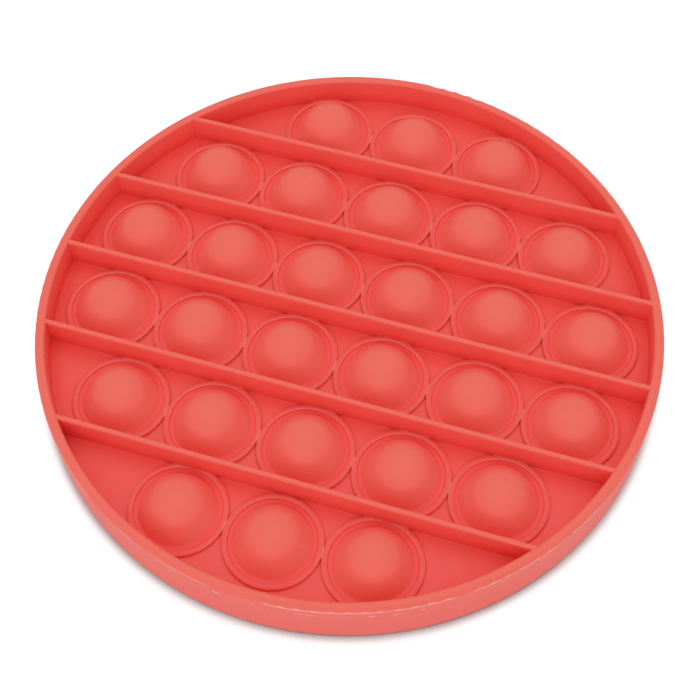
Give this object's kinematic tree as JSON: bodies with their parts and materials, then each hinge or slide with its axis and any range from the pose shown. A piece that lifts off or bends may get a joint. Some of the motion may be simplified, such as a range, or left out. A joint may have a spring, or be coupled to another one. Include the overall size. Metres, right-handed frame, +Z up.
{
  "type": "bubble pop fidget toy",
  "caption": "Round flexible board with a tall rim, straight ribs and rows of thin domes that are pushed through with a fingertip.",
  "frame": {"origin": "middle of the bottom, on the surface that the rim stands on", "axes": "+Z up, out of the side where the domes stand up; +X along the ribs; +Y across the ribs, away from the picture's viewer"},
  "size_m": [0.125, 0.125, 0.0136],
  "materials": {
    "silicone": "satin"
  },
  "bodies": {
    "root": {"bubble_board": "silicone"}
  },
  "joints": []
}
